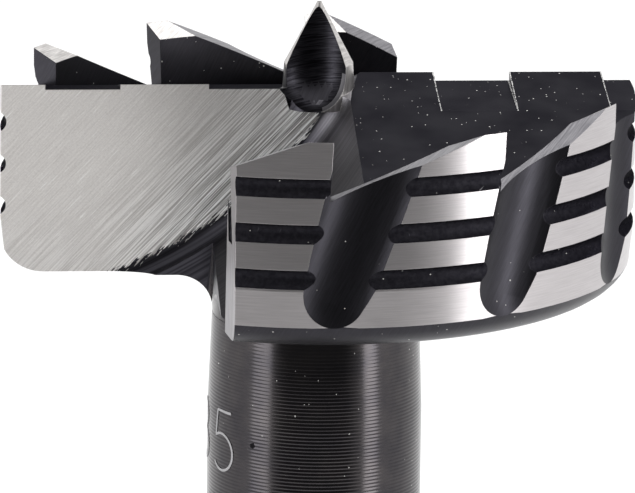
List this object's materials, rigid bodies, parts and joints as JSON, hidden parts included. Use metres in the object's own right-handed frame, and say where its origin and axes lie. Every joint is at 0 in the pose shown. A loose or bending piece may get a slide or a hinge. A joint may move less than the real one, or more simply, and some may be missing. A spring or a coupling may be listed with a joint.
{
  "type": "forstner bit",
  "caption": "Forstner bit for boring flat-bottomed holes in wood: round toothed head with cutting edges, chip windows and a centre point on a stepped shank.",
  "frame": {"origin": "centre of the shank's end face", "axes": "+Z along the bit's axis from the shank to the centre point, X along the cutting edges"},
  "size_m": [0.035, 0.035, 0.09],
  "materials": {
    "tool_steel": "hardened tool steel, dark from heat treatment, ground pale on the rim and the cutting faces"
  },
  "bodies": {
    "root": {"forstner_bit": "tool_steel"}
  },
  "joints": []
}
